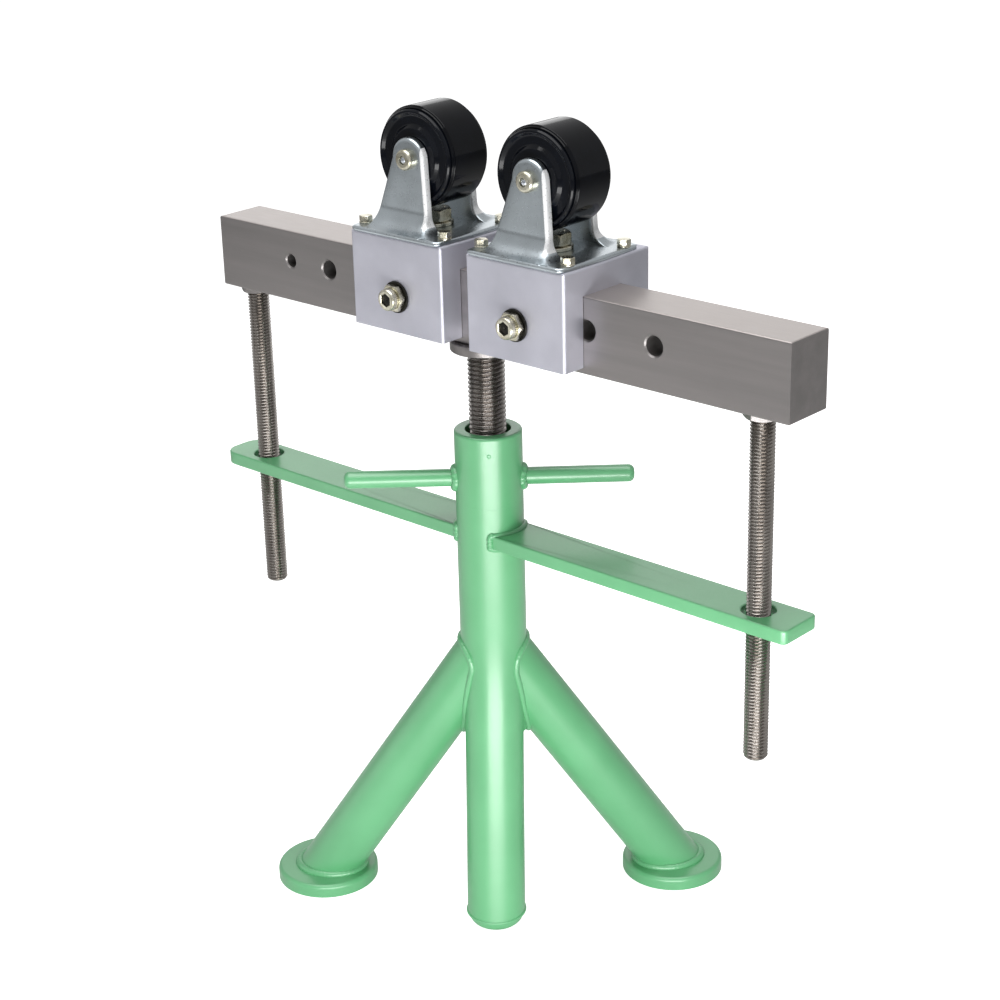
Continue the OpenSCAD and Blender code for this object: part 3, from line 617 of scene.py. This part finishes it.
# Bluish bright zinc over drawn sheet, cloudy in patches about 30 mm across.
blue_zinc = finish("blue_bright_zinc_sheet", "A0A7AB", "B4BCC1", 30, 1.6, 0.0008, (0.26, 0.32),
                   Metallic=1.0)
# The legs' right edges are painted nearly white and less metallic: a painted highlight for the
# light that falls on the bend from the right. It starts at a line 11.8 mm right of the axle that
# leans out by 0.0556 of its way down, and ends 4 mm above the plate.
# Wrapping x at the middle between the axles lays the right fork's x over the left one's.
EDGE_START, EDGE_LEAN = 11.8, 0.0556
spot = where(blue_zinc)
first, half_way = AXLES["left"] / 1000, (AXLES["right"] - AXLES["left"]) / 2000
beside = add(blue_zinc, "ShaderNodeMath",
             {0: spot["X"], 1: first + half_way, 2: first - half_way}, operation="WRAP")
sloped = add(blue_zinc, "ShaderNodeMath", {0: spot["Z"], 1: EDGE_LEAN, 2: beside.outputs[0]},
             operation="MULTIPLY_ADD")
on_bend = add(blue_zinc, "ShaderNodeMath",
              {0: sloped.outputs[0], 1: (EDGE_START + AXLES["left"] + EDGE_LEAN * AXLE_Z) / 1000},
              operation="GREATER_THAN")
over_plate = add(blue_zinc, "ShaderNodeMath", {0: spot["Z"], 1: (PLATE_TOP + 4) / 1000},
                 operation="GREATER_THAN")
# The painted highlight's mask: on the bend and above the plate.
painted_edge_highlight = add(blue_zinc, "ShaderNodeMath", {0: on_bend.outputs[0], 1: over_plate.outputs[0]},
                operation="MULTIPLY").outputs[0]
repaint(blue_zinc, painted_edge_highlight, "F1F2F3")
metal = add(blue_zinc, "ShaderNodeMapRange", {"Value": painted_edge_highlight, "To Min": 1.0, "To Max": 0.3})
blue_zinc.node_tree.links.new(
    metal.outputs[0], blue_zinc.node_tree.nodes["Principled BSDF"].inputs["Metallic"])


def leg_edge():
    """A fork leg's outline in x and z about its axle, from the left foot over the round top to
    the right foot's flare. Both feet end 1.5 mm inside the plate."""
    plate = PLATE_TOP - AXLE_Z
    crown = np.radians(np.linspace(180, 0, 49))
    top = CROWN_R * np.stack([np.cos(crown), np.sin(crown)], -1)
    foot = np.array([FOOT_LEFT, plate - 1.5])
    knee = np.array([FOOT_RIGHT - FLARE, plate + FLARE])
    left = foot + np.linspace(0, 1, 60, endpoint=False)[:, None] * (top[0] - foot)
    right = top[-1] + np.linspace(0, 1, 50)[1:, None] * (knee - top[-1])
    bend = np.radians(np.linspace(0, 90, 14))[1:]
    flare = knee + FLARE * np.stack([1 - np.cos(bend), -np.sin(bend)], -1)
    return np.vstack([left, top, right, flare, [[FOOT_RIGHT, plate - 1.5]]])


def fork_leg():
    """A pressed leg: its section across the edge, from the middle of the face out to the bend,
    round it and in behind to the turned edge's rim, and back along the inside to the middle, is
    carried along the outline. The middle is a line up the leg. Near the plate the leg's front
    sweeps forward in a quarter circle as far as the plate's edge, and its inside stays upright."""
    edge = leg_edge()
    ahead = np.gradient(edge, axis=0)
    into = np.stack([ahead[:, 1], -ahead[:, 0]], -1)
    into /= np.linalg.norm(into, axis=1, keepdims=True)
    spine_z = np.clip(edge[:, 1], None, -2)
    spine = np.stack([-1.5 - 2.5 * (spine_z / 48), spine_z], -1)
    face, rim = INNER + SHEET, INNER - 3
    flat = edge + 3.2 * into
    rows = [(flat + share * (spine - flat), face) for share in (1.0, 0.7, 0.3)]
    rows += [(edge + BEND * (1 - np.cos(a)) * into, face - BEND * (1 - np.sin(a)))
             for a in np.radians([90, 72, 54, 36, 18, 0])]
    rows += [(edge + inset * into, y) for inset, y in (
        (0.0, rim + 0.9), (0.1, rim + 0.3), (0.4, rim), (2.2, rim), (2.5, rim + 0.3),
        (SHEET, rim + 0.9), (SHEET, INNER - 0.6), (2.8, INNER - 0.2))]
    rows += [(flat + share * (spine - flat), INNER) for share in (0, 0.3, 0.7, 1.0)]
    grid = np.array([np.column_stack([p[:, 0], np.full(len(p), -y), p[:, 1] + AXLE_Z])
                     for p, y in rows]).transpose(1, 0, 2)
    above = np.clip((grid[..., 2] - PLATE_TOP) / SWEEP, 0, 1)
    sweep = SWEEP * (1 - np.sqrt(1 - (1 - above) ** 2))
    ahead_of = np.clip((-grid[..., 1] - INNER) / SHEET, 0, 1)
    grid[..., 1] = np.maximum(grid[..., 1] - sweep * ahead_of, 0.1 - PLATE_Y)
    return grid


def base_plate():
    """The base plate, about the axle's x: a rounded rectangle of sheet with rolled corners and a
    shallow round dish pressed round the stud. Its upper side is a set of loops that shrink from
    the outline to the stud, sunk by up to 0.6 mm inside a radius of 19 mm. Its right edge bows
    out, by 1.2 mm from the corners to the middle."""
    left, right = PLATE_MID - PLATE_X, PLATE_MID + PLATE_X
    outline = filled(rounded([(right, -PLATE_Y, 5), (right, PLATE_Y, 5), (left, PLATE_Y, 5),
                              (left, -PLATE_Y, 5)], steps=8), 8, 16)
    bow = 1.2 * np.clip(outline[:, 0] / right, 0, 1) ** 8 * (outline[:, 1] / PLATE_Y) ** 2
    outline[:, 0] -= bow
    shares = np.concatenate([[1, 0.985, 0.97, 0.95], np.linspace(0.9, 0.04, 24)])
    drop = np.array([1.1, 0.35, 0.05] + [0.0] * 25)
    rows = []
    for share, fall in zip(shares, drop):
        spots = outline * share
        reach = np.hypot(*spots.T)
        dish = 0.6 * np.clip((19 - reach) / 2.5, 0, 1)
        rows.append(np.column_stack([spots, PLATE_TOP - fall - dish]))
    rows.insert(0, np.column_stack([outline, np.full(len(outline), PLATE_LOW + 0.8)]))
    rows.insert(0, np.column_stack([outline * 0.99, np.full(len(outline), PLATE_LOW)]))
    return np.array(rows)


for name, x in AXLES.items():
    leg = fork_leg()
    skin(f"{name}_pressed_fork", f"{name}_carriage", blue_zinc,
         rods=[leg + [x, 0, 0], leg * [1, -1, 1] + [x, 0, 0], base_plate() + [x, 0, 0]],
         replaces=[f"{name}_fork"], sharp=50)

# Fork fasteners: four small hexagon screws with washers at the plate's corners, and one large
# nut on a stud with its washer under the wheel. All of them are plated yellow.
dress(yellow_zinc, "left_centre_stud", "right_centre_stud")


def hex_screw(flats, height):
    """A hexagon screw head on z = 0: the nut's shape without a bore, slightly domed on top."""
    nut = hex_nut(flats, height, 1.2)[:-4]
    crown = nut[-1:] * [0.5, 0.5, 1] + [0, 0, 0.15]
    return np.concatenate([nut, crown])


for name, x in AXLES.items():
    spots = [(x + PLATE_MID + sx * 36, sy * 27.5, 0) for sx in (-1, 1) for sy in (-1, 1)]
    skin(f"{name}_corner_washers", f"{name}_carriage", yellow_zinc,
         rings=[washer(4.5, 2.5, PLATE_TOP, PLATE_TOP + 1.2, 0.25) + spot for spot in spots],
         replaces=[f"{name}_plate_washers"])
    skin(f"{name}_corner_screws", f"{name}_carriage", yellow_zinc,
         rods=[hex_screw(8, 3.85) + [0, 0, PLATE_TOP + 1.2] + spot for spot in spots],
         replaces=[f"{name}_plate_bolts"], sharp=25)
    skin(f"{name}_stud_washer", f"{name}_carriage", yellow_zinc,
         rings=[washer(12, 6, PLATE_TOP - 0.6, PLATE_TOP + 2, 0.5) + [x, 0, 0]],
         replaces=[f"{name}_centre_washer"])
    skin(f"{name}_stud_nut", f"{name}_carriage", yellow_zinc,
         rings=[hex_nut(19, 8.5, 6) + [x, 0, PLATE_TOP + 2]],
         replaces=[f"{name}_centre_nut"], sharp=25)

# Axles: a bolt with a round hollow head in front, plated yellow, through a steel bushing that
# the wheel turns on, with a hexagon nut behind. A bright dome fills the hollow of the head.
dress(yellow_zinc, "left_axle_bolt", "right_axle_bolt")
# Zinc plate: bright bluish plating over steel, a little cloudy.
zinc = finish("bright_zinc_plate", "A9AEB4", "C9CED6", 9, 0.8, 0.008, (0.2, 0.32), Metallic=1.0)
dress(zinc, "left_axle_bushing", "right_axle_bushing")
for name, x in AXLES.items():
    skin(f"{name}_axle_hex_nut", f"{name}_carriage", yellow_zinc,
         rings=[facing_front(hex_nut(16, 8, 4.75), x, INNER + SHEET + 8, AXLE_Z)],
         replaces=[f"{name}_axle_nut"], sharp=25)
    face = next(span(f"{name}_axle_bolt"))[1]
    dome = [(0.0, 0.0, 0), (2.75, 0.0, 0), (2.75, 1.6, 0.9), (1.5, 2.5, 0.8), (0.0, 2.7, 0)]
    skin(f"{name}_axle_centre", f"{name}_carriage", zinc,
         rods=[facing_front(lathe(rounded(dome), 48), x, face + 2.9, AXLE_Z)])

# Wheels: a glass-filled nylon core, moulded in black, with a hard polyurethane tread cast round
# its rim. The core's hub stands out from a disc, and a hollow runs between disc and rim.
core_black = finish("moulded_black_nylon", "07090E", "0C0F16", 16, 0.8, 0.002, (0.08, 0.14),
                    IOR=1.53, Specular_IOR_Level=0.16)
tread_black = finish("cast_black_polyurethane", "050609", "090B10", 12, 0.9, 0.003,
                     (0.08, 0.14), IOR=1.5, Specular_IOR_Level=0.13)
half_core = [(7.05, 21.5, 0.3), (9.0, 21.5, 0.6), (11.0, 19.0, 0.6), (19.2, 19.0, 0.8),
             (21.6, 17.0, 1.2), (27.2, 17.0, 1.2), (29.2, 19.0, 0.6), (30.4, 19.0, 0.4),
             (31.3, 18.0, 0.4)]
core_outline = ([(r, -y, c) for r, y, c in half_core]
                + [(r, y, c) for r, y, c in half_core[::-1]])
tread_outline = [(31.3, -16.2, 0.4), (32.2, -16.2, 0.5), (32.6, -15.4, 0.4), (33.6, -14.9, 0.8),
                 (33.6, 14.9, 0.8), (32.6, 15.4, 0.4), (32.2, 16.2, 0.5), (31.3, 16.2, 0.4)]
for name, x in AXLES.items():
    skin(f"{name}_wheel_body", f"{name}_wheel", core_black,
         rings=[facing_front(lathe(rounded(core_outline, steps=4, hold=0.15), 128), x, 0, AXLE_Z)],
         replaces=[f"{name}_wheel_core"])
    skin(f"{name}_wheel_tyre", f"{name}_wheel", tread_black,
         rings=[facing_front(lathe(rounded(tread_outline, steps=4, hold=0.1), 128), x, 0, AXLE_Z)],
         replaces=[f"{name}_wheel_tread"])

# Studio: a pale floor that runs on past the picture, a white sky, four soft lamps, and the
# camera at the photograph's place.
floor_mesh = bpy.data.meshes.new("studio_floor")
floor_mesh.from_pydata([(-12, -12, -0.0005), (12, -12, -0.0005), (12, 12, -0.0005),
                        (-12, 12, -0.0005)], [], [(0, 1, 2, 3)])
floor = bpy.data.objects.new("studio_floor", floor_mesh)
bpy.context.scene.collection.objects.link(floor)
paper = bpy.data.materials.new("white_paper")
paper.use_nodes = True
tree = paper.node_tree
shader = tree.nodes["Principled BSDF"]
fibre = add(paper, "ShaderNodeTexNoise",
            {"Vector": add(paper, "ShaderNodeTexCoord").outputs["Object"], "Scale": 60.0})
pale = add(paper, "ShaderNodeMixRGB", {"Fac": fibre.outputs["Fac"], "Color1": colour("EDEDEC"),
                                       "Color2": colour("F2F2F1")})
tree.links.new(pale.outputs[0], shader.inputs["Base Color"])
shader.inputs["Roughness"].default_value = 0.9
ray = add(paper, "ShaderNodeLightPath")
mirrored = add(paper, "ShaderNodeMath", {0: ray.outputs["Is Glossy Ray"], 1: 0.1},
               operation="MULTIPLY")
glow = add(paper, "ShaderNodeMath", {0: ray.outputs["Is Camera Ray"], 1: 0.9,
                                     2: mirrored.outputs[0]}, operation="MULTIPLY_ADD")
shader.inputs["Emission Color"].default_value = (1, 1, 1, 1)
tree.links.new(glow.outputs[0], shader.inputs["Emission Strength"])
floor_mesh.materials.append(paper)

world = bpy.data.worlds.new("studio_sky")
bpy.context.scene.world = world
world.use_nodes = True
sky = world.node_tree.nodes["Background"]
ray = add(world, "ShaderNodeLightPath")
mirrored = add(world, "ShaderNodeMath", {0: ray.outputs["Is Glossy Ray"],
                                         1: ray.outputs["Is Transmission Ray"]},
               operation="MAXIMUM")
mirrored = add(world, "ShaderNodeMath", {0: mirrored.outputs[0], 1: 0.6}, operation="MULTIPLY")
seen = add(world, "ShaderNodeMath", {0: ray.outputs["Is Camera Ray"], 1: mirrored.outputs[0]},
           operation="MAXIMUM")
level = add(world, "ShaderNodeMapRange", {"Value": seen.outputs[0], "To Min": 0.15, "To Max": 1.0})
world.node_tree.links.new(level.outputs[0], sky.inputs["Strength"])
sky.inputs["Color"].default_value = (1, 1, 1, 1)


def placed(across, up, back, spot):
    """The matrix that puts a lamp or a camera at a spot. It looks the way opposite to back."""
    matrix = np.eye(4)
    matrix[:3] = np.column_stack([across, up, back, spot])
    return Matrix(matrix)


def lamp(name, azimuth, elevation, distance, size, power, aim=(0, 0, 0.3)):
    """A soft rectangular lamp aimed at the stand. Azimuth is from the front towards the right."""
    az, el = np.radians([azimuth, elevation])
    way = np.array([np.sin(az) * np.cos(el), -np.cos(az) * np.cos(el), np.sin(el)])
    light = bpy.data.lights.new(name, "AREA")
    light.shape = "RECTANGLE"
    light.size, light.size_y = size
    light.energy = power
    thing = bpy.data.objects.new(name, light)
    thing.visible_camera = False
    bpy.context.scene.collection.objects.link(thing)
    across = np.array([np.cos(az), np.sin(az), 0])
    thing.matrix_world = placed(across, np.cross(way, across), way, aim + distance * way)


lamp("low_front_softbox", 46, 1, 0.8, (0.8, 0.25), 7.4, (0, -0.02, 0.12))
lamp("top_softbox", 0, 85, 1.5, (1.4, 1.4), 24)
lamp("low_left_softbox", -42, -21, 0.85, (0.6, 0.3), 0.42, (0, 0, 0.47))
lamp("back_softbox", -138, 21, 1.5, (1.5, 0.5), 2.5)

# The camera stands to the right of the front, above the beam, and looks down at the stand. Its
# place and turn were worked out from the photographed edges of the beam, arms and feet.
yaw, pitch, roll = np.radians([-42.45, 21.71, -1.45])
ahead = np.array([np.sin(yaw) * np.cos(pitch), np.cos(yaw) * np.cos(pitch), -np.sin(pitch)])
right = np.array([np.cos(yaw), -np.sin(yaw), 0])
upward = np.cross(right, ahead)
lens = bpy.data.cameras.new("photograph")
lens.sensor_width = 36
lens.lens = 2140.3 / 1000 * 36
lens.clip_end = 50
camera = bpy.data.objects.new("photograph", lens)
bpy.context.scene.collection.objects.link(camera)
camera.matrix_world = placed(np.cos(roll) * right + np.sin(roll) * upward,
                             np.cos(roll) * upward - np.sin(roll) * right, -ahead,
                             [0.92395, (MAST_Y - 999.78) / 1000, 0.85212])
bpy.context.scene.camera = camera
bpy.context.scene.view_settings.view_transform = "Standard"
